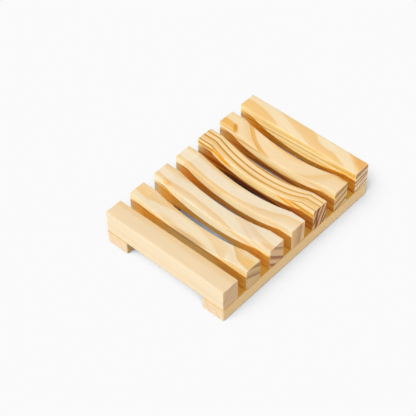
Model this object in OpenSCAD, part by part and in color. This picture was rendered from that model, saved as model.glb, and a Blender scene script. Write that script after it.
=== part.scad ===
// Slatted pine soap dish: seven slats across two rails, nailed from below.
// Origin under the middle of the dish, +X along the slats, +Y to the back, +Z up.

/* [Slats] */
// Length of every slat, from side to side
slat_length = 80; // [70:1:110]
// Width of a slat, front to back
slat_width = 10.5; // [8:0.5:14]
// Height of a slat
slat_height = 14.2; // [12:0.2:20]
// Open space between two slats
slat_gap = 7; // [4:0.5:12]
// How far the third slat was nailed back from its even place
third_slat_setback = 0.6; // [0:0.1:1.5]

/* [Bowl] */
// Flat top left at each end of a dished slat
flat_end = 9; // [6:0.5:16]
// Depth of the dish in the middle of a slat
bowl_depth = 5.1; // [3:0.3:7]

/* [Rails] */
// Width of a rail
rail_width = 13.9; // [9:0.5:18]
// Height of a rail
rail_height = 8.6; // [6:0.2:12]

/* [Edges] */
// Rounding that sanding left on every edge of the wood
edge_radius = 0.6; // [0.3:0.1:1]

/* [Nails] */
// Diameter of a nail's shank
nail_diameter = 1.4; // [1:0.1:2]
// Diameter of a nail's head
nail_head_diameter = 2.6; // [2.4:0.1:3.6]
// Height of a nail's head
nail_head_height = 0.8; // [0.5:0.1:1.2]
// Length of a nail over all
nail_length = 16; // [13:0.5:17]
// Length of a nail's point
nail_point = 2; // [1:0.2:3]
// How far the heads are driven in below the rail's underside
nail_recess = 0.4; // [0.2:0.1:1]
// Clearance all round a nail in its hole
nail_clearance = 0.04; // [0.02:0.01:0.1]

/* [Hidden] */
// The first and the last slat are plain bars, and those between them are dished
slat_count = 7;
third_slat = 2;

slat_pitch = slat_width + slat_gap;
rail_length = (slat_count - 1) * slat_pitch + slat_width;
dish_height = rail_height + slat_height;
rail_centre = (slat_length - rail_width) / 2;

// The bowl is part of a cylinder that lies along the dish
bowl_half_width = slat_length / 2 - flat_end;
bowl_radius = (pow(bowl_half_width, 2) + pow(bowl_depth, 2)) / (2 * bowl_depth);
bowl_centre_height = dish_height + bowl_radius - bowl_depth;

// Overrun of every cut past the face that it opens on
overrun = 1;

edge_facets = 32;
bowl_facets = 240;
nail_facets = 24;

// Front face of slat i
function slat_front(i) =
    i * slat_pitch - rail_length / 2 + (i == third_slat ? third_slat_setback : 0);

function is_dished(i) = i > 0 && i < slat_count - 1;

// Rectangle with round corners, made of true arcs, centred on the origin
module round_rectangle(width, height) {
    inner_width = width - 2 * edge_radius;
    inner_height = height - 2 * edge_radius;
    square([inner_width, height], center = true);
    square([width, inner_height], center = true);
    for (x = [-1, 1], y = [-1, 1])
        translate([x * inner_width / 2, y * inner_height / 2])
            circle(r = edge_radius, $fn = edge_facets);
}

// Sanded bar, centred in plan, standing on z = 0, round on all twelve edges
module sanded_bar(length, width, height) {
    translate([0, 0, height / 2])
        intersection() {
            rotate([90, 0, 90])
                linear_extrude(length, center = true) round_rectangle(width, height);
            rotate([90, 0, 0])
                linear_extrude(width, center = true) round_rectangle(length, height);
            linear_extrude(height, center = true) round_rectangle(length, width);
        }
}

// Half profile of the tool that dishes a slat: it flares at both faces of
// the slat, which leaves the long edges of the bowl round
module bowl_profile() {
    half_width = slat_width / 2;
    translate([0, -half_width - overrun])
        square([bowl_radius, slat_width + 2 * overrun]);
    for (side = [0, 1])
        mirror([0, side])
            difference() {
                translate([bowl_radius - edge_radius, half_width - edge_radius])
                    square([2 * edge_radius, edge_radius + overrun]);
                translate([bowl_radius + edge_radius, half_width - edge_radius])
                    circle(r = edge_radius, $fn = edge_facets);
            }
}

module bowl_tool() {
    translate([0, 0, bowl_centre_height])
        rotate([-90, 0, 0])
            rotate_extrude($fn = bowl_facets) bowl_profile();
}

// Nail driven upwards, and with clearance the hole that it sits in
module nail(clearance = 0) {
    head_radius = nail_head_diameter / 2 + clearance;
    shank_radius = nail_diameter / 2 + clearance;
    point_start = nail_length - nail_point + clearance;
    translate([0, 0, nail_recess]) {
        cylinder(r = head_radius, h = nail_head_height, $fn = nail_facets);
        cylinder(r = shank_radius, h = point_start, $fn = nail_facets);
        translate([0, 0, point_start])
            cylinder(r1 = shank_radius, r2 = shank_radius / 4, h = nail_point, $fn = nail_facets);
    }
}

module nail_hole() {
    nail(nail_clearance);
    translate([0, 0, -overrun])
        cylinder(r = nail_head_diameter / 2 + nail_clearance, h = nail_recess + overrun,
                 $fn = nail_facets);
}

// Places its children under the middle of slat i, on the rail at side -1 or 1
module at_crossing(i, side) {
    translate([side * rail_centre, slat_front(i) + slat_width / 2, 0]) children();
}

module slat(i) {
    color(is_dished(i) ? "#f3dcb4" : "#f6e2c0")
        difference() {
            translate([0, slat_front(i) + slat_width / 2, 0])
                difference() {
                    translate([0, 0, rail_height])
                        sanded_bar(slat_length, slat_width, slat_height);
                    if (is_dished(i)) bowl_tool();
                }
            for (side = [-1, 1]) at_crossing(i, side) nail_hole();
        }
}

module rail(side) {
    color("#e6c48c")
        difference() {
            translate([side * rail_centre, 0, 0])
                sanded_bar(rail_width, rail_length, rail_height);
            for (i = [0 : slat_count - 1]) at_crossing(i, side) nail_hole();
        }
}

module nails(side) {
    color("silver")
        for (i = [0 : slat_count - 1]) at_crossing(i, side) nail();
}

for (i = [0 : slat_count - 1])
    slat(i);
rail(-1);  // left_rail
rail(1);  // right_rail
nails(-1);  // left_nails
nails(1);  // right_nails
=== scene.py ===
import bpy
import math
from mathutils import Matrix, Vector
from mathutils import noise as mathNoise


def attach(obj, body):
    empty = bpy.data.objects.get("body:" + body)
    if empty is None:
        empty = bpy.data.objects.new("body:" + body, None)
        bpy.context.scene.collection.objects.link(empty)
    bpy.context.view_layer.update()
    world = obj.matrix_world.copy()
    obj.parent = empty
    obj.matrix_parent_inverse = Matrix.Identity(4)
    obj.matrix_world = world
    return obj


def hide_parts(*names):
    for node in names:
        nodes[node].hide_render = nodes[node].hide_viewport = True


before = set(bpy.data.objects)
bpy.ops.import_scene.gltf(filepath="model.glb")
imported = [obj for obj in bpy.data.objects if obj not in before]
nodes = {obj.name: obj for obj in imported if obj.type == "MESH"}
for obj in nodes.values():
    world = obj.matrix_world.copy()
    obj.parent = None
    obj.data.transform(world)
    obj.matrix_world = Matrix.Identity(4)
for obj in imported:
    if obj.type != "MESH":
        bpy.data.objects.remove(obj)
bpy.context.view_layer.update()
print("frame loaded:", sorted(nodes))

# Sizes in mm, the same as in the part's source
dish = {
    "slats": 7,              # the first and the last are plain bars, the others are dished
    "slatPitch": 17.5,
    "thirdSetback": 0.6,     # the third slat was nailed this much further back
    "length": 115.5,         # from the front slat to the back slat
    "height": 22.8,
}


def slatFront(number):
    setback = dish["thirdSetback"] if number == 3 else 0.0
    return (number - 1) * dish["slatPitch"] - dish["length"] / 2 + setback


def linear(red, green, blue):
    # Colours are written as they look on a screen, 0 to 255
    def one(value):
        value /= 255
        return value / 12.92 if value <= 0.04045 else ((value + 0.055) / 1.055) ** 2.4
    return (one(red), one(green), one(blue), 1.0)


def addObject(name, data):
    thing = bpy.data.objects.new(name, data)
    bpy.context.scene.collection.objects.link(thing)
    return thing


# Camera, fitted to the photograph's edges
cameraPlace = {
    "azimuth": 42.341,   # degrees from the front towards the right
    "elevation": 48.259,
    "roll": -0.629,
    "distance": 0.75232,
    "target": (-0.01624, -0.006307, 0.000179),
    "focal": 1411.34,    # in pixels of the picture
    "imageWidth": 416,
    "sensor": 36.0,
    "near": 0.01,
    "far": 20.0,
}


def makeCamera(values):
    turn = math.radians(values["azimuth"])
    lift = math.radians(values["elevation"])
    roll = math.radians(values["roll"])
    back = Vector((math.sin(turn) * math.cos(lift), -math.cos(turn) * math.cos(lift), math.sin(lift)))
    level = Vector((math.cos(turn), math.sin(turn), 0.0))
    upright = back.cross(level)
    right = level * math.cos(roll) + upright * math.sin(roll)
    up = upright * math.cos(roll) - level * math.sin(roll)
    eye = Vector(values["target"]) + back * values["distance"]
    data = bpy.data.cameras.new("camera")
    data.sensor_width = values["sensor"]
    data.lens = values["sensor"] * values["focal"] / values["imageWidth"]
    data.clip_start = values["near"]
    data.clip_end = values["far"]
    camera = addObject("camera", data)
    camera.matrix_world = Matrix.Translation(eye) @ Matrix((right, up, back)).transposed().to_4x4()
    bpy.context.scene.camera = camera


makeCamera(cameraPlace)
bpy.context.scene.view_settings.view_transform = "Standard"
print("camera placed")


# Shader helpers: each adds one kind of node, fed with values or with other nodes' outputs
def addNode(tree, kind, **settings):
    node = tree.nodes.new("ShaderNode" + kind)
    for name, value in settings.items():
        setattr(node, name, value)
    return node


def feed(tree, socket, value):
    if isinstance(value, bpy.types.NodeSocket):
        tree.links.new(value, socket)
    elif value is not None:
        socket.default_value = value


def fill(tree, node, *values, **named):
    # Values for a node's first inputs, and for others by their titles
    for socket, value in zip(node.inputs, values):
        feed(tree, socket, value)
    for title, value in named.items():
        feed(tree, node.inputs[title], value)
    return node.outputs


def maths(tree, operation, first, second=None, third=None, clamp=False):
    node = addNode(tree, "Math", operation=operation, use_clamp=clamp)
    return fill(tree, node, first, second, third)[0]


def product(tree, first, *others):
    for value in others:
        first = maths(tree, "MULTIPLY", first, value)
    return first


def oneMinus(tree, value, clamp=False):
    return maths(tree, "SUBTRACT", 1.0, value, clamp=clamp)


def vectorMaths(tree, operation, first, second=None, scale=None):
    node = addNode(tree, "VectorMath", operation=operation)
    outputs = fill(tree, node, first, second, None, scale)
    return outputs["Value" if operation in ("DOT_PRODUCT", "LENGTH") else "Vector"]


def scaled(tree, vector, scale):
    return vectorMaths(tree, "SCALE", vector, scale=scale)


def parts(tree, vector):
    return fill(tree, addNode(tree, "SeparateXYZ"), vector)


def ease(tree, value, low, high, smallest=0.0, largest=1.0, kind="SMOOTHSTEP"):
    node = addNode(tree, "MapRange", interpolation_type=kind)
    return fill(tree, node, value, low, high, smallest, largest)[0]


def mixColour(tree, factor, first, second, blend="MIX"):
    node = addNode(tree, "Mix", data_type="RGBA", blend_type=blend)
    feed(tree, node.inputs[0], factor)
    feed(tree, node.inputs[6], first)
    feed(tree, node.inputs[7], second)
    return node.outputs[2]


def tint(tree, mask, base, tone):
    return mixColour(tree, mask, base, (*tone, 1.0), "MULTIPLY")


def mixShader(tree, factor, first, second):
    return fill(tree, addNode(tree, "MixShader"), factor, first, second)[0]


def noise(tree, vector, seed, detail=2.0, roughness=0.5, output="Fac"):
    node = addNode(tree, "TexNoise", noise_dimensions="4D")
    return fill(tree, node, Vector=vector, W=seed, Scale=1.0, Detail=detail, Roughness=roughness)[output]


def colourRamp(tree, value, stops):
    node = addNode(tree, "ValToRGB")
    elements = node.color_ramp.elements
    while len(elements) < len(stops):
        elements.new(0.5)
    for element, (position, colour) in zip(elements, stops):
        element.position = position
        element.color = colour
    return fill(tree, node, value)[0]


def bumped(tree, height, strength, distance):
    return fill(tree, addNode(tree, "Bump"), Height=height, Strength=strength, Distance=distance)[0]


def emptyTree(owner, ending):
    # The shader tree of a material or of the world, and the socket that its surface goes into
    owner.use_nodes = True
    tree = owner.node_tree
    tree.nodes.clear()
    return tree, addNode(tree, ending).inputs["Surface"]


def newPrincipled(name):
    material = bpy.data.materials.new(name)
    tree, surface = emptyTree(material, "OutputMaterial")
    shader = addNode(tree, "BsdfPrincipled")
    feed(tree, surface, shader.outputs[0])
    return material, tree, shader


def effect(name, **inputs):
    # Makes a node group of the function below it, which takes the inputs and returns the outputs
    def newSocket(group, title, direction, isVector):
        kind = "NodeSocketVector" if isVector else "NodeSocketFloat"
        return group.interface.new_socket(title, in_out=direction, socket_type=kind)

    def build(function):
        group = bpy.data.node_groups.new(name, "ShaderNodeTree")
        for title, value in inputs.items():
            newSocket(group, title, "INPUT", isinstance(value, tuple)).default_value = value
        results = function(group, group.nodes.new("NodeGroupInput").outputs)
        for title, value in results.items():
            newSocket(group, title, "OUTPUT", value.type == "VECTOR")
        fill(group, group.nodes.new("NodeGroupOutput"), **results)
        return group
    return build


def useGroup(tree, group, **values):
    return fill(tree, addNode(tree, "Group", node_tree=group), **values)


def seenDirectly(tree):
    # 1 for what the camera sees, also in a mirror or through glass
    path = addNode(tree, "LightPath").outputs
    glossy = maths(tree, "MAXIMUM", path["Is Camera Ray"], path["Is Glossy Ray"])
    return maths(tree, "MAXIMUM", glossy, path["Is Transmission Ray"])


# Light: a soft key low in front, round soft lamps about the table, and a faint room, brightest overhead
light = {
    "key": {"towards": (0.0, -0.826, 0.574), "strength": 2.2, "angle": 3.5},
    "lamps": {
        "left": {"place": (-0.75, -0.42, 0.32), "size": 0.5, "strength": 2.5},
        "back": {"place": (-0.25, 0.62, 0.75), "size": 0.6, "strength": 3.5},
        "right": {"place": (0.85, 0.1, 0.3), "size": 0.5, "strength": 2.85},
    },
    "roomHigh": 0.18,
    "roomUnder": 0.45,       # only reaches what stands on the table, from below
    "underFull": -0.3,       # slope down at which the room below has its full strength
    "background": (0.956, 0.956, 0.956, 1.0),
}


def addLamp(name, kind, strength, towards, **settings):
    lamp = bpy.data.lights.new(name, kind)
    lamp.energy = strength
    for title, value in settings.items():
        setattr(lamp, title, value)
    lampObject = addObject(name, lamp)
    lampObject.rotation_euler = Vector(towards).to_track_quat("Z", "Y").to_euler()
    return lampObject


def makeLight(values):
    key = values["key"]
    addLamp("key", "SUN", key["strength"], key["towards"], angle=math.radians(key["angle"]))
    for name, lamp in values["lamps"].items():
        lampObject = addLamp(name, "AREA", lamp["strength"], lamp["place"], shape="DISK", size=lamp["size"])
        lampObject.location = lamp["place"]

    world = bpy.data.worlds.new("room")
    bpy.context.scene.world = world
    tree, surface = emptyTree(world, "OutputWorld")
    upward = parts(tree, addNode(tree, "TexCoord").outputs["Generated"])[2]
    above = ease(tree, upward, 0.0, 1.0, 0.0, values["roomHigh"], "LINEAR")
    under = ease(tree, upward, 0.0, values["underFull"], 0.0, values["roomUnder"], "LINEAR")
    white = (1.0, 1.0, 1.0, 1.0)
    room = fill(tree, addNode(tree, "Background"), white, maths(tree, "ADD", above, under))[0]
    backdrop = fill(tree, addNode(tree, "Background"), values["background"])[0]
    feed(tree, surface, mixShader(tree, seenDirectly(tree), room, backdrop))


makeLight(light)
print("light made")

# White table: what the camera sees of it is white with a painted soft shadow on the side away from the key
# light, a painted thin dark line where wood touches it and a painted darker floor under the middle of the
# dish
table = {
    "size": 12.0,
    "level": -0.00003,
    "bounce": 0.8,
    "shadowReach": 0.025,
    "shadowFrom": (0.142, -0.807, 0.574),
    "shadow": [(0.0, (0.035, 0.038, 0.047)), (0.3, (0.11, 0.12, 0.145)), (0.5, (0.24, 0.25, 0.27)),
               (0.64, (0.66, 0.67, 0.68)), (0.72, (0.83, 0.83, 0.83)), (0.79, (0.92, 0.92, 0.92)),
               (0.87, (0.956, 0.956, 0.956))],
    "contactReach": 0.0018,
    "contact": (0.50, 0.72, 0.45),        # dark up to, gone from, tone of the line
    "middle": (-0.010, 0.016, 0.0),
    "middleReach": (0.046, 0.030, 1.0),
    "middleTone": 0.04,
    "clearReach": 0.0008,                 # what stands on the table is lit through it from below
}


def openness(tree, reach, towards):
    # 1 where nothing stands within reach on that side, and less beside the dish
    node = addNode(tree, "AmbientOcclusion", samples=16)
    return fill(tree, node, Distance=reach, Normal=towards)["AO"]


def tableMaterial(values):
    material = bpy.data.materials.new("whiteTable")
    tree, surface = emptyTree(material, "OutputMaterial")
    towards = fill(tree, addNode(tree, "CombineXYZ"), *values["shadowFrom"])[0]
    shadow = colourRamp(tree, openness(tree, values["shadowReach"], towards),
                        [(at, (*colour, 1.0)) for at, colour in values["shadow"]])
    darkest, gone, tone = values["contact"]
    contact = ease(tree, openness(tree, values["contactReach"], towards), darkest, gone, tone)
    shadow = scaled(tree, shadow, contact)
    # painted shadow: the seen floor is darker towards the middle of the dish
    offset = vectorMaths(tree, "SUBTRACT", addNode(tree, "TexCoord").outputs["Object"], values["middle"])
    far = vectorMaths(tree, "LENGTH", vectorMaths(tree, "DIVIDE", offset, values["middleReach"]))
    shadow = scaled(tree, shadow, ease(tree, far, 0.0, 1.0, values["middleTone"]))
    bounce = values["bounce"]
    lit = fill(tree, addNode(tree, "BsdfDiffuse"), (bounce, bounce, bounce, 1.0))[0]
    seen = fill(tree, addNode(tree, "Emission"), shadow)[0]
    whole = mixShader(tree, seenDirectly(tree), lit, seen)

    # Seen from below the table is clear, so that the underside of the dish can be looked at
    travelled = addNode(tree, "LightPath").outputs["Ray Length"]
    touching = maths(tree, "LESS_THAN", travelled, values["clearReach"])
    under = maths(tree, "MAXIMUM", touching, addNode(tree, "NewGeometry").outputs["Backfacing"])
    clear = addNode(tree, "BsdfTransparent").outputs[0]
    feed(tree, surface, mixShader(tree, under, whole, clear))
    return material


def makeTable(values):
    half = values["size"] / 2
    level = values["level"]
    corners = [(-half, -half, level), (half, -half, level), (half, half, level), (-half, half, level)]
    mesh = bpy.data.meshes.new("table")
    mesh.from_pydata(corners, [], [(0, 1, 2, 3)])
    mesh.materials.append(tableMaterial(values))
    floor = addObject("table", mesh)


makeTable(table)
print("table made")


zero = (0.0, 0.0, 0.0)


# Wood never grows quite flat: this bends the place that the layers are read at
@effect("growthWaver", Place=zero, Amount=0.5, Size=(30.0, 6.0, 6.0), Seed=0.0)
def waverGroup(tree, start):
    place = vectorMaths(tree, "DIVIDE", start["Place"], start["Size"])
    shift = noise(tree, place, start["Seed"], 2.0, 0.45, "Color")
    shift = scaled(tree, vectorMaths(tree, "SUBTRACT", shift, (0.5, 0.5, 0.5)), start["Amount"])
    return {"Place": vectorMaths(tree, "ADD", start["Place"], shift)}


# One growth ring: the wood darkens slowly over Early mm up to Edge, then turns pale within Sharp mm
@effect("growthLayer", Place=zero, Tilt=zero, Bow=0.0, Edge=0.0, Early=3.0, Sharp=0.3, Strength=1.0,
        Power=1.6)
def layerGroup(tree, start):
    along = vectorMaths(tree, "DOT_PRODUCT", start["Place"], start["Tilt"])
    length = parts(tree, start["Place"])[0]
    bowed = maths(tree, "MULTIPLY_ADD", product(tree, length, length), start["Bow"], along)
    offset = maths(tree, "SUBTRACT", bowed, start["Edge"])
    rise = maths(tree, "ADD", maths(tree, "DIVIDE", offset, start["Early"]), 1.0, clamp=True)
    rise = maths(tree, "POWER", rise, start["Power"])
    fall = oneMinus(tree, maths(tree, "DIVIDE", offset, start["Sharp"]), clamp=True)
    return {"Late": product(tree, rise, fall, start["Strength"])}


# Faint even rings between the strong ones, and the lines of a saw
@effect("growthLines", Place=zero, Tilt=zero, Spacing=1.2, Seed=0.0)
def linesGroup(tree, start):
    along = vectorMaths(tree, "DOT_PRODUCT", start["Place"], start["Tilt"])
    turn = maths(tree, "ADD", maths(tree, "DIVIDE", along, start["Spacing"]), start["Seed"])
    ring = maths(tree, "FRACT", turn)
    fall = oneMinus(tree, ease(tree, ring, 0.86, 1.0))
    return {"Late": product(tree, maths(tree, "POWER", ring, 2.0), fall)}


# Fine streaks along the grain, which are dots on a sawn end, with resin flecks and a slow change of tone
@effect("woodFibre", Place=zero, Size=(16.0, 0.3, 0.3), FleckSize=(2.6, 0.28, 0.28), FleckBegun=0.7,
        FleckFull=0.8, MottleSize=(26.0, 5.0, 5.0), Seed=0.0)
def fibreGroup(tree, start):
    def noiseOf(size, seedShift, *look):
        place = vectorMaths(tree, "DIVIDE", start["Place"], start[size])
        return noise(tree, place, maths(tree, "ADD", start["Seed"], seedShift), *look)

    return {"Fibre": noiseOf("Size", 0.0, 3.0, 0.6),
            "Fleck": ease(tree, noiseOf("FleckSize", 5.0, 0.0), start["FleckBegun"], start["FleckFull"]),
            "Mottle": noiseOf("MottleSize", 9.0)}


# 1 on the faces that a saw cut across the grain, 0 along it
@effect("sawnEnd", Normal=zero, Grain=(1.0, 0.0, 0.0), Begun=0.45, Full=0.85)
def endGroup(tree, start):
    facing = maths(tree, "ABSOLUTE", vectorMaths(tree, "DOT_PRODUCT", start["Normal"], start["Grain"]))
    return {"End": ease(tree, facing, start["Begun"], start["Full"])}


# Soft egg-shaped spot, for resin, for a patch of other wood, and for painted light and shade on some fronts;
# Lean tips it along the grain
@effect("softSpot", Place=zero, Centre=zero, Reach=(1.0, 1.0, 1.0), Lean=zero, Soft=0.6)
def spotGroup(tree, start):
    offset = vectorMaths(tree, "SUBTRACT", start["Place"], start["Centre"])
    leaning = scaled(tree, start["Lean"], parts(tree, offset)[0])
    offset = vectorMaths(tree, "SUBTRACT", offset, leaning)
    far = vectorMaths(tree, "LENGTH", vectorMaths(tree, "DIVIDE", offset, start["Reach"]))
    return {"Spot": ease(tree, far, oneMinus(tree, start["Soft"]), 1.0, 1.0, 0.0)}


# Painted shade: the lower flanks between the slats are tinted a deeper amber where shade falls in the gaps,
# with a painted lighter rim above the line and a painted shadow at the left ends.
# The line where the painted shade starts follows the bowl (Follow 1, deeper by Grow) or runs level (Follow
# 0)
paintedShade = {
    "radius": 96.77,                    # of the bowl, in mm like all lengths here
    "bowl": 5.1,
    "leastBelow": 1.15,                 # the line is never closer to the top than this
    "leftRise": (-40.0, -26.0, -0.7),   # x at the end, x where it starts, and how far the line rises
    "soft": 0.8,
    "cap": (0.95, 0.995),               # along the slat, a normal beyond this is a sawn end
    "leftCorner": 0.9,                  # the rounding at the left ends takes the painted shade, at the right it doesn't
    "facing": (0.70, 0.92),             # normal where the painted shade begins on a side and where it is full
    "turned": 0.1,
    "middle": (6.0, 24.0),
    "leftEnd": (-40.5, -33.5, 0.15),    # x, x, and the share that is left at the end
    "leftEndShadeDepth": (4.7, 5.2),
    "leftEndShadeLength": (-33.0, -22.0),
    "leftEndShadeSoft": 0.5,
    "rim": 1.4,                         # width of the painted lighter rim above the line
}


@effect("paintedGapShade", Place=zero, Normal=zero, Follow=1.0, Grow=0.14, Front=1.0, Back=1.0, From=4.05,
        Middle=0.0)
def gapShadeGroup(tree, start):
    position = parts(tree, start["Place"])
    length, depth = position[0], position[2]
    radius = paintedShade["radius"]
    height = maths(tree, "SQRT", maths(tree, "SUBTRACT", radius ** 2, product(tree, length, length)))
    dip = maths(tree, "MAXIMUM", maths(tree, "SUBTRACT", height, radius - paintedShade["bowl"]), 0.0)
    deeper = product(tree, start["Follow"], maths(tree, "ADD", start["Grow"], 1.0))
    line = maths(tree, "MULTIPLY_ADD", dip, deeper, start["From"])
    line = maths(tree, "MAXIMUM", line, maths(tree, "ADD", dip, paintedShade["leastBelow"]))
    line = maths(tree, "ADD", line, ease(tree, length, *paintedShade["leftRise"], 0.0))
    below = maths(tree, "SUBTRACT", depth, line)
    deep = ease(tree, below, 0.0, paintedShade["soft"])

    normal = parts(tree, start["Normal"])
    along, across = normal[0], normal[1]
    corner = product(tree, along, paintedShade["leftCorner"])
    front = maths(tree, "SUBTRACT", product(tree, across, -1.0), corner)
    back = maths(tree, "SUBTRACT", across, corner)
    front = product(tree, ease(tree, front, *paintedShade["facing"]), start["Front"],
                    ease(tree, across, 0.0, -paintedShade["turned"]))
    back = product(tree, ease(tree, back, *paintedShade["facing"]), start["Back"],
                   ease(tree, across, 0.0, paintedShade["turned"]))
    capped = ease(tree, maths(tree, "ABSOLUTE", along), *paintedShade["cap"], 1.0, 0.0)
    middle = ease(tree, maths(tree, "ABSOLUTE", length), *paintedShade["middle"], 1.0, 0.0)
    side = product(tree, maths(tree, "ADD", front, back), capped,
                   oneMinus(tree, product(tree, middle, start["Middle"])))

    fromEnd = ease(tree, length, *paintedShade["leftEnd"], 1.0)
    deepest = maths(tree, "SUBTRACT", depth, dip)
    leftEndShade = product(tree, ease(tree, deepest, *paintedShade["leftEndShadeDepth"], 1.0, 0.0),
                   ease(tree, length, *paintedShade["leftEndShadeLength"], 1.0, 0.0),
                   ease(tree, below, 0.0, paintedShade["leftEndShadeSoft"]))
    above = ease(tree, below, -paintedShade["rim"], 0.0)
    # Outputs: painted shade on the lower flanks, a painted lighter rim just above its line, and a painted
    # shadow higher up at the left ends
    return {"GapShade": product(tree, side, deep, fromEnd),
            "PaintedRim": product(tree, above, oneMinus(tree, deep), side),
            "Shade": product(tree, leftEndShade, side, fromEnd)}


# Finish that gathered along an edge of a top: golden from From to To, within Reach of the edge At
@effect("goldenEdge", Place=zero, Normal=zero, At=10.5, Reach=2.8, From=-40.0, To=40.0, Strength=0.6)
def goldGroup(tree, start):
    length, width = parts(tree, start["Place"])[0:2]
    far = maths(tree, "ABSOLUTE", maths(tree, "SUBTRACT", width, start["At"]))
    close = oneMinus(tree, maths(tree, "DIVIDE", far, start["Reach"]), clamp=True)
    soft = 3.0
    begun = ease(tree, maths(tree, "SUBTRACT", length, start["From"]), -soft, soft)
    done = ease(tree, maths(tree, "SUBTRACT", start["To"], length), -soft, soft)
    upward = ease(tree, parts(tree, start["Normal"])[2], 0.3, 0.8)
    return {"Gold": product(tree, begun, done, close, upward, start["Strength"])}


# Painted shade: an amber line in the groove where two bars meet
@effect("paintedJointShade", Place=zero, Level=14.2, Reach=0.8, Full=0.24)
def jointShadeGroup(tree, start):
    depth = parts(tree, start["Place"])[2]
    far = maths(tree, "ABSOLUTE", maths(tree, "SUBTRACT", depth, start["Level"]))
    return {"Joint": ease(tree, far, start["Full"], start["Reach"], 1.0, 0.0)}


print("wood effects made")

# Each slat was cut from another board. A layer is a sheet through the slat at
# tilt . (x from the middle, y from the front, depth below the top) + bow . x . x = edge, all in mm,
# and has the board's tilt where it gives none. Fade is x where it starts, x where it ends, and the
# shares before and after. Lines is share and spacing of thin rings, along lineTilt or else along tilt.
# Gold is y of the edge, reach, x, x, share. Back is how much of the painted gap shade shows behind, if not
# all
slatWood = {}
slatWood[1] = {
    "pale": (246, 219, 178), "mid": (242, 208, 160), "late": (228, 182, 118),
    "sawnPale": (230, 192, 150), "sawnLate": (164, 130, 98), "kerf": 0.45,
    "frontTone": (0.95, 1.02, 1.12), "paintedShade": (1.08, 0.86, 0.44), "back": 0.3,
    "tilt": (0.0, 1.05, 1.0), "lines": (0.1, 1.9),
    "layers": [
        {"edge": 9.3, "early": 2.8, "share": 0.3, "power": 0.6, "sharp": 1.4},
        {"edge": 13.0, "early": 2.0, "share": 0.2, "sharp": 0.8},
        {"edge": 16.5, "early": 2.0, "share": 0.25, "sharp": 0.8},
        {"edge": 20.5, "early": 2.0, "share": 0.25, "sharp": 0.8},
    ],
    "gold": [(10.6, 3.4, -45.0, 45.0, 0.62)],
}
slatWood[2] = {
    "pale": (246, 226, 190), "mid": (243, 205, 144), "late": (228, 172, 82),
    "sawnPale": (226, 188, 138), "sawnLate": (172, 132, 84), "kerf": 0.5,
    "frontTone": (0.92, 0.96, 0.86), "paintedShade": (1.3, 0.97, 0.34), "middle": 0.45, "follow": 0.0, "from": 3.9,
    "back": 0.5,
    "tilt": (-0.0735, -0.45, 1.0), "lines": (0.06, 1.3),
    "layers": [
        {"edge": -3.7, "early": 4.6, "share": 0.72, "power": 0.9},
        {"edge": 0.85, "early": 4.0, "share": 0.56, "power": 0.8, "sharp": 0.5,
         "fade": (-15.0, 10.0, 1.0, 0.7)},
        {"tilt": (0.01, -0.45, 1.0), "edge": 5.6, "early": 2.2, "power": 0.9},
        {"edge": 11.5, "early": 3.4, "share": 0.6},
    ],
    "spots": [
        # painted light: a paler patch on the middle of the shaded front
        {"at": (-4.0, 0.0, 9.8), "reach": (24.0, 3.0, 5.0), "colour": (252, 232, 192), "share": 0.9},
        {"at": (0.0, 0.4, 5.0), "reach": (14.5, 2.6, 2.0), "colour": (222, 182, 124), "share": 0.75,
         "soft": 0.4},
        {"at": (-14.0, 1.0, 3.6), "reach": (11.0, 3.8, 4.0), "colour": (240, 198, 132), "share": 0.6},
        {"at": (23.3, 4.5, 0.0), "reach": (9.0, 5.0, 3.0), "lean": (0.0, -1.2, 0.0),
         "colour": (251, 236, 206), "share": 0.75, "soft": 0.5},
        {"at": (31.0, 0.0, 8.5), "reach": (16.0, 2.0, 5.0), "colour": (214, 182, 134), "share": 0.8},
        {"at": (36.5, 5.4, 0.0), "reach": (7.0, 4.2, 3.0), "colour": (242, 192, 96), "share": 0.5},
        {"at": (-34.0, 6.5, 0.0), "reach": (9.0, 4.2, 3.0), "colour": (244, 202, 130), "share": 0.4},
    ],
    "gold": [(10.6, 1.8, -30.0, -10.0, 0.5)],
}
slatWood[3] = {
    "pale": (246, 228, 196), "mid": (242, 206, 152), "late": (228, 172, 100),
    "sawnPale": (226, 186, 142), "sawnLate": (162, 112, 76), "kerf": 0.2,
    "paintedShade": (1.2, 0.84, 0.29), "middle": 0.15, "grow": 0.24, "from": 4.15,
    "tilt": (0.07, 0.85, -1.0), "lines": (0.06, 1.3),
    "layers": [
        {"edge": 5.8, "early": 3.0, "share": 0.45, "power": 0.6},
        {"tilt": (0.24, 0.85, -1.0), "edge": 5.7, "early": 1.5, "share": 0.36, "power": 0.4,
         "fade": (4.0, 12.0, 0.0, 1.0)},
        {"tilt": (0.116, 0.85, -1.0), "edge": -2.05, "early": 3.0, "share": 0.56, "power": 0.5,
         "sharp": 0.5, "fade": (34.0, 39.0, 1.0, 0.3)},
        {"tilt": (0.24, 0.85, -1.0), "edge": 5.7, "early": 3.0, "share": 0.85, "power": 0.7,
         "fade": (37.5, 39.5, 0.0, 1.0)},
        {"edge": -7.0, "early": 3.2, "share": 0.9, "power": 0.8, "fade": (20.0, 32.0, 0.12, 1.0)},
    ],
    "spots": [
        {"at": (-31.0, 0.6, 0.4), "reach": (4.4, 2.4, 3.0), "colour": (238, 178, 88), "share": 0.7},
        {"at": (37.5, 1.4, 0.0), "reach": (8.0, 2.8, 3.0), "colour": (240, 194, 134), "share": 0.75},
        {"at": (22.0, 5.5, 3.0), "reach": (12.0, 6.0, 4.0), "lean": (0.0, -0.25, 0.0),
         "colour": (238, 208, 182), "share": 0.5},
    ],
    "gold": [(10.6, 2.4, -45.0, -24.0, 0.75), (10.6, 2.0, 30.0, 45.0, 0.4), (0.0, 1.6, -30.0, -18.0, 0.4)],
}
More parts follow.
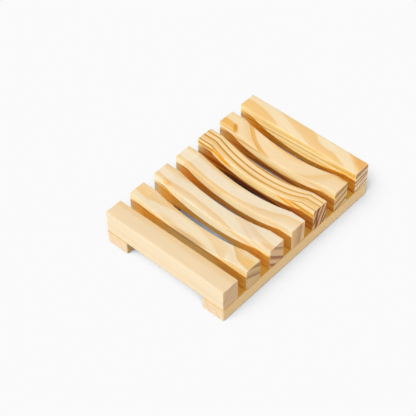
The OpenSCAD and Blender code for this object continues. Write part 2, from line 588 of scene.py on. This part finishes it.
slatWood[4] = {
    "pale": (247, 228, 197), "mid": (243, 207, 150), "late": (226, 174, 98),
    "sawnPale": (232, 192, 142), "sawnLate": (192, 148, 106), "kerf": 0.15,
    "paintedShade": (1.07, 0.69, 0.2), "grow": 0.23, "from": 3.8,
    "tilt": (-0.08, 1.0, 0.12), "lines": (0.06, 1.5),
    "layers": [
        {"bow": -0.0013, "edge": 3.2, "early": 7.0, "share": 0.52, "power": 0.7},
        {"tilt": (-0.04, 1.0, 0.12), "edge": 11.6, "early": 2.8, "share": 0.6, "power": 0.8,
         "fade": (-4.0, 14.0, 1.0, 0.15)},
    ],
    "spots": [
        {"at": (-37.6, 6.5, 0.0), "reach": (6.6, 9.0, 9.0), "colour": (250, 236, 200), "share": 0.5,
         "soft": 0.15},
        {"at": (0.0, 0.0, 8.0), "reach": (16.0, 1.4, 5.0), "colour": (250, 228, 184), "share": 0.6},
        {"at": (32.0, 0.0, 2.5), "reach": (15.0, 1.4, 5.0), "colour": (240, 206, 152), "share": 0.7},
    ],
    "gold": [(10.6, 3.2, -45.0, -4.0, 0.8), (0.0, 2.6, -45.0, -4.0, 0.75)],
}
slatWood[5] = {
    "pale": (250, 221, 171), "mid": (231, 173, 70), "late": (188, 121, 4),
    "sawnPale": (230, 180, 126), "sawnLate": (124, 68, 36), "sawnFull": 0.3, "kerf": 0.1,
    "frontTone": (0.97, 1.07, 1.05), "paintedShade": (0.87, 0.54, 0.18), "grow": 0.26, "from": 3.6,
    "tilt": (0.0, 1.0, 0.51), "lines": (0.14, 1.35), "lineTilt": (0.0, 1.0, 0.48),
    "layers": [
        {"edge": 1.4, "early": 1.15, "power": 0.4, "sharp": 0.2, "fade": (14.0, 28.0, 1.0, 0.0)},
        {"tilt": (0.0, 1.0, 0.42), "edge": 1.4, "early": 0.6, "share": 0.8, "power": 0.5,
         "fade": (14.0, 28.0, 0.0, 1.0)},
        {"edge": 5.35, "early": 1.2, "power": 0.42, "sharp": 0.2, "fade": (-6.0, 12.0, 1.0, 0.72)},
        {"tilt": (0.0, 1.0, 0.41), "edge": 8.4, "early": 1.1, "power": 0.42, "sharp": 0.2,
         "fade": (-6.0, 12.0, 0.95, 0.72)},
        {"tilt": (0.0, 1.0, 0.43), "edge": 12.3, "early": 1.1, "power": 0.45},
        {"edge": 15.6, "early": 1.1, "power": 0.45},
        {"tilt": (0.0, 1.0, 0.1), "edge": 3.8, "early": 2.6, "share": 0.3, "power": 0.8, "sharp": 0.9},
    ],
    "spots": [
        {"at": (-23.0, 0.0, 3.9), "reach": (9.8, 2.4, 2.0), "lean": (0.0, 0.0, 0.34),
         "colour": (250, 172, 0), "soft": 0.55},
        {"at": (21.5, 0.0, 5.0), "reach": (9.5, 2.4, 1.25), "lean": (0.0, 0.0, 0.08),
         "colour": (254, 166, 0), "soft": 0.5},
        {"at": (-31.0, 0.0, 4.6), "reach": (3.4, 2.4, 1.6), "colour": (236, 150, 10), "share": 0.9},
        # painted light: a paler band on the middle of the front, down to the shadow's line
        {"at": (0.0, 0.0, 8.0), "reach": (25.0, 0.9, 2.7), "colour": (246, 212, 150), "share": 0.85,
         "soft": 0.4},
        # painted shade: darker towards the bottom of the middle of the front
        {"at": (0.0, 0.0, 15.2), "reach": (40.0, 4.0, 5.0), "colour": (150, 86, 36), "soft": 0.35},
    ],
    "gold": [(10.6, 1.6, -45.0, 26.0, 0.8)],
}
slatWood[6] = {
    "pale": (247, 221, 178), "mid": (239, 187, 102), "late": (220, 150, 40),
    "sawnPale": (234, 194, 138), "sawnLate": (162, 120, 70), "kerf": 0.35,
    "frontTone": (0.98, 1.09, 1.1), "paintedShade": (1.06, 0.79, 0.3), "grow": 0.32, "from": 3.7, "back": 0.4,
    "tilt": (0.02, 0.343, 1.0), "lines": (0.18, 0.75),
    "layers": [
        {"edge": 0.75, "early": 6.0, "share": 0.62, "power": 0.7, "fade": (-30.0, -26.0, 1.0, 0.3)},
        {"edge": 4.85, "early": 0.85, "share": 0.66, "power": 0.3, "sharp": 0.2,
         "fade": (0.0, 8.0, 1.0, 0.15)},
        {"edge": 4.2, "early": 0.3, "power": 0.6, "sharp": 0.2, "fade": (0.0, 8.0, 1.0, 0.1)},
        {"edge": 4.6, "early": 2.6, "share": 0.3, "power": 0.7, "sharp": 0.9},
        {"edge": 10.0, "early": 3.4, "share": 0.7},
        {"edge": 15.2, "early": 3.6, "share": 0.8},
        {"tilt": (0.0, 0.2, 1.0), "edge": 3.7, "early": 1.8, "share": 0.9, "power": 0.8,
         "fade": (38.5, 39.7, 0.0, 1.0)},
    ],
    "spots": [
        {"at": (-37.5, 3.1, 0.0), "reach": (7.5, 2.6, 2.4), "colour": (238, 180, 86), "share": 0.8},
        {"at": (-30.2, 2.0, 0.2), "reach": (2.8, 2.1, 2.4), "lean": (0.0, -0.95, 0.0),
         "colour": (218, 150, 30), "soft": 0.45},
        # painted shade: darker towards the bottom of the middle of the front
        {"at": (0.0, 0.0, 15.2), "reach": (28.0, 3.0, 5.2), "colour": (202, 140, 72), "share": 0.9,
         "soft": 0.35},
        {"at": (35.5, 10.9, 0.0), "reach": (10.0, 2.4, 4.0), "colour": (226, 164, 72), "share": 0.85},
    ],
    "gold": [(10.6, 2.6, -12.0, 9.0, 0.75), (10.6, 1.4, -32.0, -24.0, 0.9)],
}
slatWood[7] = {
    "pale": (247, 224, 181), "mid": (242, 193, 116), "late": (226, 160, 26),
    "sawnPale": (250, 216, 177), "sawnLate": (172, 134, 96), "kerf": 0.3,
    "frontTone": (0.94, 1.02, 0.92), "paintedShade": (1.12, 0.78, 0.2), "middle": 0.25, "from": 3.95,
    "back": 0.0, "waver": 0.35,
    "tilt": (0.05, 0.15, 1.0), "lines": (0.1, 0.9),
    "layers": [
        {"tilt": (0.1, 0.12, 1.0), "bow": 0.00142, "edge": -1.03, "early": 1.9, "share": 0.44,
         "power": 0.08, "sharp": 0.15},
        {"edge": 1.6, "early": 1.15, "share": 0.44, "power": 0.15, "sharp": 0.2},
        {"tilt": (0.06, 0.09, 0.5), "edge": 3.6, "early": 1.15, "share": 0.7, "power": 0.35,
         "fade": (16.0, 26.0, 0.0, 1.0)},
        {"tilt": (0.06, 0.05, 1.0), "edge": 2.5, "early": 0.8, "share": 0.8, "power": 0.8, "sharp": 0.3,
         "fade": (14.0, 22.0, 1.0, 0.0)},
        {"edge": 5.45, "early": 0.9, "power": 0.7, "sharp": 0.3},
        {"edge": 8.9, "early": 1.6, "power": 0.7, "fade": (20.0, 30.0, 0.65, 1.0)},
        {"tilt": (0.05, 0.24, 1.0), "edge": 11.4, "early": 1.2, "share": 0.9, "power": 0.9},
        {"tilt": (0.05, 0.28, 1.0), "edge": 15.8, "early": 1.3, "share": 0.9, "power": 0.9},
    ],
    "spots": [
        # painted light: paler in the middle of the shaded lower front
        {"at": (0.0, 0.0, 12.0), "reach": (26.0, 3.0, 4.5), "colour": (255, 230, 170), "share": 0.8},
        {"at": (37.0, 0.0, 2.7), "reach": (10.0, 1.4, 1.5), "lean": (0.0, 0.0, -0.05),
         "colour": (234, 172, 60), "share": 0.3},
        {"at": (14.5, 7.6, 0.0), "reach": (8.5, 3.4, 1.6), "lean": (0.0, -0.15, 0.0),
         "colour": (248, 226, 184), "share": 0.95, "soft": 0.35},
        {"at": (37.5, 7.6, 0.0), "reach": (12.0, 4.6, 2.0), "lean": (0.0, -0.45, 0.0),
         "colour": (232, 168, 84), "share": 0.7, "soft": 0.7},
    ],
    "gold": [(0.0, 1.6, -45.0, 45.0, 0.3)],
}

# What all the pine shares, where a board doesn't say otherwise
pine = {
    "waver": 0.9,                    # how far the rings wander, in mm
    "sawnFull": 0.6,                 # ring strength that is fully dark on a sawn end
    "sawnFrom": 0.03,
    "kerf": 0.25,                    # share of the saw's lines on a sawn end
    "kerfTilt": (0.0, 0.89, -0.45),
    "kerfSpacing": 1.2,
    "paintedShade": (1.05, 0.72, 0.28),     # tone of the painted shade on the flanks between slats
    "follow": 1.0,                   # how far the line above them follows the bowl
    "grow": 0.14,                    # how much deeper than the bowl it dips
    "from": 4.05,                    # depth of the line at the ends, in mm
    "middle": 0.0,                   # share of the painted shade that is left out at mid-length
    "frontTone": (0.95, 1.04, 1.05), # tone of the faces towards the front
    "frontFacing": (-0.5, -0.9),
    # painted light on faces that look up; it is neutral for the slats
    "paintedTopLight": (1.0, 1.0, 1.0),
    "topFacing": (0.6, 0.95),
    # painted highlight just above the line of the painted gap shade
    "paintedRimTone": (0.99, 1.06, 1.14),
    "shade": (0.52, 0.44, 0.38),     # painted shadow where the gap shade reaches higher up at the left ends
    "goldTone": (0.97, 0.80, 0.44),
    "jointShadeTone": (0.90, 0.76, 0.36),
    # painted highlight along the rounded edges
    "edgeHighlight": (255, 242, 212),
    "edgeHighlightShare": 0.6,
    "streak": (0.10, 0.34),          # share of golden streaks, on top and on the sides
    "streakFacing": (0.4, 0.9),
    "streakFibre": (0.52, 0.68),
    "streakDark": 0.2,               # how much they darken the painted gap shade
    "fibreTone": 0.10,
    "mottleTone": 0.06,
    "fleckTone": 0.06,
    "roughness": 0.58,
    "roughLate": -0.10,
    "roughSawn": 0.15,
    "roughFibre": 0.12,
    "reliefLate": 0.5,
    "reliefKerf": 1.5,
    "bumpStrength": 0.25,
    "bumpDistance": 0.0001,
    "specular": 0.35,
    "spots": (),
    "gold": (),
}
plainLayer = {"share": 1.0, "bow": 0.0, "sharp": 0.35, "power": 1.6}
plainSpot = {"share": 1.0, "lean": zero, "soft": 0.8}


def ringColour(tree, wood, bent, length, seed):
    # Colour of the rings and spots, and how late in its year the wood grew
    share, spacing = wood["lines"]
    lines = useGroup(tree, linesGroup, Place=bent, Tilt=wood.get("lineTilt", wood["tilt"]),
                     Spacing=spacing, Seed=seed)["Late"]
    lateness = product(tree, lines, share)
    for entry in wood["layers"]:
        layer = {**plainLayer, "tilt": wood["tilt"], **entry}
        strength = layer["share"]
        if "fade" in layer:
            low, high, before, after = layer["fade"]
            strength = ease(tree, length, low, high, before * strength, after * strength)
        ring = useGroup(tree, layerGroup, Place=bent, Tilt=layer["tilt"], Bow=layer["bow"],
                        Edge=layer["edge"], Early=layer["early"], Sharp=layer["sharp"],
                        Strength=strength, Power=layer["power"])["Late"]
        lateness = maths(tree, "MAXIMUM", lateness, ring)
    base = colourRamp(tree, lateness, [
        (0.0, linear(*wood["pale"])), (0.5, linear(*wood["mid"])), (1.0, linear(*wood["late"]))])
    for entry in wood["spots"]:
        spot = {**plainSpot, **entry}
        mask = useGroup(tree, spotGroup, Place=bent, Centre=spot["at"], Reach=spot["reach"],
                        Lean=spot["lean"], Soft=spot["soft"])["Spot"]
        base = mixColour(tree, product(tree, mask, spot["share"]), base, linear(*spot["colour"]))
    return base, lateness


def steadyTone(tree, value, share):
    # Brightness that swings by the share to both sides of 1
    return maths(tree, "MULTIPLY_ADD", value, share * 2, 1.0 - share)


def pineMaterial(name, board, origin, seed, front, back, joint=14.2, turn=0.0, grain=(1.0, 0.0, 0.0)):
    # Origin is added to the object's x, y and -z in mm; joint is the depth below the top of the groove that
    # gets the painted joint shade.
    # Front and back say how strongly the painted gap shade shows on those sides
    wood = {**pine, **board}
    material, tree, shader = newPrincipled(name)
    coordinates = addNode(tree, "TexCoord").outputs
    normal = coordinates["Normal"]
    across, upward = parts(tree, normal)[1:3]
    straight = fill(tree, addNode(tree, "Mapping"), Vector=coordinates["Object"], Location=origin,
                    Rotation=(0.0, 0.0, math.radians(turn)), Scale=(1000.0, 1000.0, -1000.0))[0]
    bent = useGroup(tree, waverGroup, Place=straight, Amount=wood["waver"], Seed=seed)["Place"]
    base, lateness = ringColour(tree, wood, bent, parts(tree, straight)[0], seed)

    detail = useGroup(tree, fibreGroup, Place=straight, Seed=seed)
    share = ease(tree, maths(tree, "ABSOLUTE", across), *wood["streakFacing"], *wood["streak"])
    streak = ease(tree, detail["Fibre"], *wood["streakFibre"])
    base = mixColour(tree, product(tree, streak, share), base, linear(*wood["late"]))
    base = tint(tree, ease(tree, across, *wood["frontFacing"]), base, wood["frontTone"])
    for at, reach, low, high, strength in wood["gold"]:
        gold = useGroup(tree, goldGroup, Place=bent, Normal=normal, At=at, Reach=reach, From=low, To=high,
                        Strength=strength)["Gold"]
        base = tint(tree, gold, base, wood["goldTone"])
    # painted highlight: the rounded edges are mixed towards a pale colour
    worn = product(tree, addNode(tree, "Attribute", attribute_name="edge").outputs["Fac"], wood["edgeHighlightShare"])
    base = mixColour(tree, worn, base, linear(*wood["edgeHighlight"]))

    end = useGroup(tree, endGroup, Normal=normal, Grain=grain)["End"]
    kerf = useGroup(tree, linesGroup, Place=bent, Tilt=wood["kerfTilt"], Spacing=wood["kerfSpacing"],
                    Seed=seed)["Late"]
    kerf = product(tree, kerf, wood["kerf"])
    grown = maths(tree, "MAXIMUM", ease(tree, lateness, wood["sawnFrom"], wood["sawnFull"]), kerf)
    sawn = mixColour(tree, grown, linear(*wood["sawnPale"]), linear(*wood["sawnLate"]))
    base = mixColour(tree, end, base, sawn)

    fleck = maths(tree, "MULTIPLY_ADD", detail["Fleck"], -wood["fleckTone"], 1.0)
    tone = product(tree, steadyTone(tree, detail["Fibre"], wood["fibreTone"]),
                   steadyTone(tree, detail["Mottle"], wood["mottleTone"]), fleck)
    base = scaled(tree, base, tone)
    gapShading = useGroup(tree, gapShadeGroup, Place=straight, Normal=normal, Follow=wood["follow"],
                      Grow=wood["grow"], Front=front, Back=back, From=wood["from"], Middle=wood["middle"])
    # painted highlight: a lighter rim on the side faces just above the painted shade's line
    base = tint(tree, gapShading["PaintedRim"], base, wood["paintedRimTone"])
    # painted shade: the lower flanks between the slats are tinted deeper amber
    base = tint(tree, gapShading["GapShade"], base, wood["paintedShade"])
    # painted shadow at the left ends, above the line of the cast shadow
    base = tint(tree, gapShading["Shade"], base, wood["shade"])
    # the golden streaks darken the painted gap shade a little more
    dull = product(tree, streak, gapShading["GapShade"], -wood["streakDark"])
    base = scaled(tree, base, maths(tree, "ADD", dull, 1.0))
    # painted shade: an amber line along the groove where the bars meet
    jointShade = useGroup(tree, jointShadeGroup, Place=straight, Level=joint)["Joint"]
    base = tint(tree, jointShade, base, wood["jointShadeTone"])
    # painted light: faces that look up are lifted by this tone
    base = tint(tree, ease(tree, upward, *wood["topFacing"]), base, wood["paintedTopLight"])

    rough = maths(tree, "MULTIPLY_ADD", lateness, wood["roughLate"], wood["roughness"])
    rough = maths(tree, "MULTIPLY_ADD", end, wood["roughSawn"], rough)
    rough = maths(tree, "MULTIPLY_ADD", detail["Fibre"], wood["roughFibre"], rough)
    relief = maths(tree, "MULTIPLY_ADD", lateness, wood["reliefLate"], detail["Fibre"])
    relief = maths(tree, "MULTIPLY_ADD", product(tree, kerf, end), wood["reliefKerf"], relief)
    relief = bumped(tree, relief, wood["bumpStrength"], wood["bumpDistance"])
    fill(tree, shader, base, Roughness=rough, Normal=relief)
    shader.inputs["Specular IOR Level"].default_value = wood["specular"]
    return material


# Slats: bars with sanded edges, dished by one arc, and never quite regular; sizes in mm
slat = {
    "length": 80.0,
    "width": 10.5,
    "height": 14.2,
    "bottom": 8.6,
    "flatEnd": 9.0,
    "bowlDepth": 5.1,
    "still": 1.0,            # the bowl moves nothing this near the underside, and all this near the top
    "edge": 0.2,             # rounding, and how much more wear adds to it in places
    "edgeMore": 0.2,
    "edgePeak": 0.293,       # 1 - normal in the middle of a rounding
    "wearSize": 7.0,
    "unevenness": 0.04,
    "unevenSize": 9.0,
    "squares": (1.0, 1.3, 1.6),                       # size of the mesh's squares on each axis
    "bendMark": 0.3,                                  # finer squares on both sides of the bowl's ends
    "bowlShift": {6: 0.8},                            # the arc was sanded a little off the middle
    "bowlSag": {3: 0.05, 4: 0.07, 5: 0.08, 6: 0.06},  # and deeper towards the back, as a share
    "widerBack": {1: (0.2, 0.6)},                     # extra width at the left and at the right end
}


def noiseAt(point, size, seed):
    return mathNoise.noise(Vector(point) / size + Vector((seed, seed * 1.7, seed * 2.3)))


def bowlDip(x):
    half = slat["length"] / 2 - slat["flatEnd"]
    radius = (half ** 2 + slat["bowlDepth"] ** 2) / (2 * slat["bowlDepth"])
    if abs(x) >= half:
        return 0.0
    return math.sqrt(radius ** 2 - x ** 2) - (radius - slat["bowlDepth"])


def axisPlaces(half, edge, step, marks=()):
    # Places along one side of a bar: three in each rounding, and even between the marks
    inner = half - edge
    bend = [edge * math.tan(math.radians(angle)) for angle in (15, 30, 45)]
    stops = sorted([-inner, inner, *marks])
    between = [-inner]
    for low, high in zip(stops, stops[1:]):
        count = max(1, round((high - low) / step))
        between += [low + (high - low) * (index + 1) / count for index in range(count)]
    return [-inner - value for value in reversed(bend)] + between + [inner + value for value in bend]


def barMesh(name, sizes, steps, marks, shape):
    # A box of fine squares pulled onto a rounded bar; shape(point, normal) then moves each place
    halves = [size / 2 for size in sizes]
    places = [axisPlaces(*entry) for entry in zip(halves, [slat["edge"]] * 3, steps, marks)]
    counts = [len(entry) for entry in places]
    index = {}
    points = []
    edges = []

    def vertex(i, j, k):
        key = (i, j, k)
        if key not in index:
            cube = Vector((places[0][i], places[1][j], places[2][k]))
            worn = 0.5 + 0.5 * noiseAt(cube, slat["wearSize"], sizes[0])
            wear = slat["edge"] + slat["edgeMore"] * worn
            inner = Vector([max(-half + wear, min(half - wear, value)) for half, value in zip(halves, cube)])
            normal = (cube - inner).normalized()
            index[key] = len(points)
            points.append(shape(inner + normal * wear, normal))
            edges.append((1.0 - max(abs(value) for value in normal)) / slat["edgePeak"])
        return index[key]

    faces = []
    for axis in range(3):
        first, second = (axis + 1) % 3, (axis + 2) % 3
        for side in (0, counts[axis] - 1):
            for a in range(counts[first] - 1):
                for b in range(counts[second] - 1):
                    corners = []
                    for da, db in ((0, 0), (1, 0), (1, 1), (0, 1)):
                        key = [0, 0, 0]
                        key[axis] = side
                        key[first] = a + da
                        key[second] = b + db
                        corners.append(vertex(*key))
                    faces.append(corners if side else corners[::-1])
    mesh = bpy.data.meshes.new(name)
    mesh.from_pydata([point / 1000 for point in points], [], faces)
    mesh.attributes.new("edge", "FLOAT", "POINT").data.foreach_set("value", edges)
    mesh.polygons.foreach_set("use_smooth", [True] * len(mesh.polygons))
    mesh.update()
    return mesh


def makeSlat(number):
    dished = 1 < number < dish["slats"]
    front = slatFront(number)
    middle = Vector((0.0, front + slat["width"] / 2, slat["bottom"] + slat["height"] / 2))
    moving = slat["height"] - 2 * slat["still"]

    def shape(point, normal):
        moved = point.copy()
        behind = point.y / slat["width"] + 0.5
        if dished:
            level = (point.z + slat["height"] / 2 - slat["still"]) / moving
            dip = bowlDip(point.x - slat["bowlShift"].get(number, 0.0))
            moved.z -= dip * (1 + slat["bowlSag"].get(number, 0.0) * behind) * max(0.0, min(1.0, level))
        left, right = slat["widerBack"].get(number, (0.0, 0.0))
        moved.y += behind * (left + (right - left) * (point.x / slat["length"] + 0.5))
        hollow = slat["unevenness"] * (0.5 + 0.5 * noiseAt(point, slat["unevenSize"], number * 3.7))
        return moved + middle - normal * hollow

    bend = slat["length"] / 2 - slat["flatEnd"]
    beside = (-slat["bendMark"], 0.0, slat["bendMark"])
    marks = [side * bend + shift for side in (-1, 1) for shift in beside] if dished else ()
    mesh = barMesh("pineSlat_%d" % number, (slat["length"], slat["width"], slat["height"]),
                   slat["squares"], (marks, (), ()), shape)
    piece = addObject("pineSlat_%d" % number, mesh)
    mesh.materials.append(pineMaterial(
        "pine_%d" % number, slatWood[number], (0.0, -front, dish["height"]), number * 7.3,
        front=0.0 if number == 1 else 1.0, back=slatWood[number].get("back", 1.0)))
    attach(piece, "root")
    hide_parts("slat_%d" % number)


for number in range(1, dish["slats"] + 1):
    makeSlat(number)
print("slats finished")

# Rails: one board each, straight grain along them
railWood = {
    "pale": (243, 210, 156), "mid": (237, 192, 130), "late": (219, 162, 92),
    "sawnPale": (239, 214, 180), "sawnLate": (230, 198, 156), "kerf": 0.35,
    "frontTone": (1.0, 1.0, 1.0),
    # painted light: lifts the rail tops, which lie in the slats' shade
    "paintedTopLight": (1.36, 1.5, 1.34),
    "tilt": (0.006, 0.9, 0.45), "lines": (0.5, 1.15), "lineTilt": (0.0, 0.9, 0.45),
    "layers": [
        {"edge": 6.2, "early": 3.0, "share": 0.5},
        {"edge": 11.4, "early": 3.0, "share": 0.5},
    ],
    "spots": [
        {"at": (0.0, 0.0, 8.8), "reach": (90.0, 1.6, 1.3), "colour": (232, 178, 92), "share": 0.8},
    ],
}
railRight = {"left_rail": -26.1, "right_rail": 40.0}    # x of each rail's right-hand face, in mm
for side, name in ((-1, "left_rail"), (1, "right_rail")):
    material = pineMaterial("pine_" + name, railWood, (0.0, railRight[name], slat["bottom"]), 50.0 + side,
                            front=0.0, back=0.0, joint=0.0, turn=-90.0, grain=(0.0, 1.0, 0.0))
    for materialSlot in nodes[name].material_slots:
        materialSlot.material = material
print("rails finished")

# Nails: round wire with a pressed head, grip rings under it and a four-sided point; sizes in mm
nail = {
    "recess": 0.4,
    "length": 16.0,
    "shank": 0.7,            # radius
    "head": [(0.22, 0.05), (0.60, 0.03), (0.92, 0.0), (1.12, 0.03), (1.25, 0.12), (1.3, 0.26), (1.3, 0.50),
             (1.24, 0.62), (1.0, 0.74), (0.8, 0.8), (0.7, 0.98)],    # radius, height
    "rings": 7,
    "firstRing": 2.2,
    "ringStep": 0.5,
    "ring": [(0.0, 0.0), (-0.07, 0.12), (-0.07, 0.24), (0.0, 0.36)],
    "pointStart": 14.0,
    "point": [(1.0, 8.0), (1.0, 14.0), (0.72, 14.8), (0.4, 15.5), (0.12, 15.95)],    # share, height
    "squareness": 0.3,
    "around": 28,
    "turn": 2.4,             # each nail is turned this much further, in radians
    "railCentre": 33.05,
    "steel": (196, 198, 200),
    "dull": (136, 134, 130),
    "dullNoise": (0.9, 0.45, 0.65),       # spots per mm, and noise where they begin and are full
    "rust": (120, 78, 48),
    "rustNoise": (3.1, 0.66, 0.76),
    "rustShare": 0.7,
    "roughness": 0.22,
    "roughMore": 0.35,
    "pressed": 15.0,         # pattern of the head, radians per mm
    "bumpStrength": 0.5,
    "bumpDistance": 0.00006,
}


def nailProfile():
    # Radius and height, from the middle of the head up to the point
    shank = nail["shank"]
    profile = list(nail["head"])
    for ring in range(nail["rings"]):
        low = nail["firstRing"] + ring * nail["ringStep"]
        profile += [(shank + more, low + height) for more, height in nail["ring"]]
    return profile + [(shank * share, height) for share, height in nail["point"]]


def nailMaterial(values):
    material, tree, shader = newPrincipled("nailSteel")
    position = scaled(tree, addNode(tree, "TexCoord").outputs["Object"], 1000.0)
    size, begun, full = values["dullNoise"]
    patches = noise(tree, scaled(tree, position, size), 3.0, 3.0, 0.6)
    colour = mixColour(tree, ease(tree, patches, begun, full), linear(*values["steel"]),
                       linear(*values["dull"]))
    size, begun, full = values["rustNoise"]
    spots = noise(tree, scaled(tree, position, size), 8.0, 2.0, 0.6)
    rusty = ease(tree, spots, begun, full, 0.0, values["rustShare"])
    east, north = parts(tree, position)[0:2]
    pressed = product(tree, maths(tree, "SINE", product(tree, east, values["pressed"])),
                      maths(tree, "SINE", product(tree, north, values["pressed"])))
    relief = maths(tree, "MULTIPLY_ADD", patches, 0.6, pressed)
    fill(tree, shader, mixColour(tree, rusty, colour, linear(*values["rust"])),
         Metallic=oneMinus(tree, rusty),
         Roughness=maths(tree, "MULTIPLY_ADD", patches, values["roughMore"], values["roughness"]),
         Normal=bumped(tree, relief, values["bumpStrength"], values["bumpDistance"]))
    return material


def makeNails(side, name, material):
    profile = nailProfile()
    around = nail["around"]
    tip = nail["length"] - nail["pointStart"]
    points = []
    faces = []
    for number in range(1, dish["slats"] + 1):
        first = len(points)
        east = side * nail["railCentre"]
        north = slatFront(number) + slat["width"] / 2
        turn = nail["turn"] * number + side
        for radius, height in profile:
            pointed = max(0.0, height - nail["pointStart"]) / tip
            for step in range(around):
                angle = 2 * math.pi * step / around
                wide = radius * (1.0 - nail["squareness"] * pointed * abs(math.sin(2 * angle)))
                points.append(((east + wide * math.cos(angle + turn)) / 1000,
                               (north + wide * math.sin(angle + turn)) / 1000,
                               (nail["recess"] + height) / 1000))
        for ring in range(len(profile) - 1):
            for step in range(around):
                low = first + ring * around
                after = (step + 1) % around
                faces.append((low + step, low + after, low + around + after, low + around + step))
        faces.append([first + step for step in reversed(range(around))])
        last = first + (len(profile) - 1) * around
        faces.append([last + step for step in range(around)])
    mesh = bpy.data.meshes.new(name)
    mesh.from_pydata(points, [], faces)
    mesh.polygons.foreach_set("use_smooth", [len(face) == 4 for face in faces])
    mesh.update()
    mesh.materials.append(material)
    piece = addObject(name, mesh)
    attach(piece, "root")
    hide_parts(name.replace("wireNails", "nails"))


nailSteel = nailMaterial(nail)
for side, name in ((-1, "left_wireNails"), (1, "right_wireNails")):
    makeNails(side, name, nailSteel)
print("nails finished")
